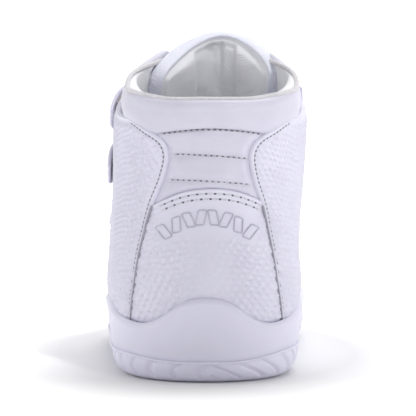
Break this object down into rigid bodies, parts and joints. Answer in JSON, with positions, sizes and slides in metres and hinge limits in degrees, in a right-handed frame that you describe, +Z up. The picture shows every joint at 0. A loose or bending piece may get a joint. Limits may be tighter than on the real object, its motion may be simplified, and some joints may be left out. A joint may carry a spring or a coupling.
{
  "type": "cheer shoe",
  "caption": "White high-top cheer shoe with padded collar, quilted ankle panel, tall tongue, cup sole with wrapped outsole and hook-and-loop straps.",
  "frame": {"origin": "centre of the bounding box at the floor, under the middle of the sole", "axes": "+Y towards the toe, +X towards the medial (big toe) side of this left shoe, +Z up"},
  "size_m": [0.0911, 0.26, 0.138],
  "materials": {
    "white_leather": "smooth coated leather",
    "embossed_leather": "coated leather with an embossed scale texture",
    "rim_knit": "fine bluish white knit",
    "lining_cloth": "soft brushed textile",
    "foam": "open-cell padding",
    "eva": "moulded foam sole",
    "rubber": "white moulded rubber",
    "board": "fibre board",
    "stiffener": "thermoplastic sheet",
    "strap": "coated leather strap",
    "hook_tape": "hook tape",
    "loop_tape": "loop tape"
  },
  "bodies": {
    "shoe": {"outsole": "rubber", "midsole": "eva", "lasting_board": "board", "achilles_panel": "white_leather", "heel_counter_cover": "embossed_leather", "collar_panel": "white_leather", "quarter_medial": "embossed_leather", "eyestay_medial": "white_leather", "quarter_lateral": "embossed_leather", "eyestay_lateral": "white_leather", "vamp": "white_leather", "toe_cap": "white_leather", "vamp_backer": "foam", "toe_puff": "stiffener", "vamp_lining": "lining_cloth", "heel_stiffener": "stiffener", "heel_lining": "lining_cloth", "collar_foam": "foam", "collar_lining": "lining_cloth", "topline_binding": "rim_knit", "quarter_backer_medial": "foam", "quarter_backer_lateral": "foam", "upper_strap_loop": "loop_tape", "upper_strap_anchor": "strap", "middle_strap_loop": "loop_tape", "middle_strap_anchor": "strap", "lower_strap_loop": "loop_tape", "lower_strap_anchor": "strap"},
    "tongue": {"tongue_shell": "white_leather", "tongue_foam": "foam", "tongue_lining": "lining_cloth", "tongue_binding": "rim_knit"},
    "upper_strap": {"upper_strap": "strap", "upper_strap_hook": "hook_tape"},
    "middle_strap": {"middle_strap": "strap", "middle_strap_hook": "hook_tape"},
    "lower_strap": {"lower_strap": "strap", "lower_strap_hook": "hook_tape"},
    "sockliner": {"sockliner": "lining_cloth"}
  },
  "joints": [
    {"name": "upper_strap_open", "type": "hinge", "parent": "shoe", "child": "upper_strap", "pos_m": [0.03796, -0.05611, 0.10748], "axis": [0.0304, 0.5514, -0.8337], "range_deg": [0, 100]},
    {"name": "middle_strap_open", "type": "hinge", "parent": "shoe", "child": "middle_strap", "pos_m": [0.041, -0.051, 0.088], "axis": [0, 0.5, -0.866], "range_deg": [0, 100]},
    {"name": "lower_strap_open", "type": "hinge", "parent": "shoe", "child": "lower_strap", "pos_m": [0.03867, -0.01254, 0.06302], "axis": [0.0502, 0.8646, -0.5], "range_deg": [0, 100]},
    {"name": "tongue_tilt", "type": "hinge", "parent": "shoe", "child": "tongue", "pos_m": [0.0012, 0.0485, 0.064], "axis": [1, 0, 0], "range_deg": [0, 8]},
    {"name": "sockliner_lift", "type": "hinge", "parent": "shoe", "child": "sockliner", "pos_m": [0, 0.1174, 0.0185], "axis": [-1, 0, 0], "range_deg": [0, 10]}
  ]
}
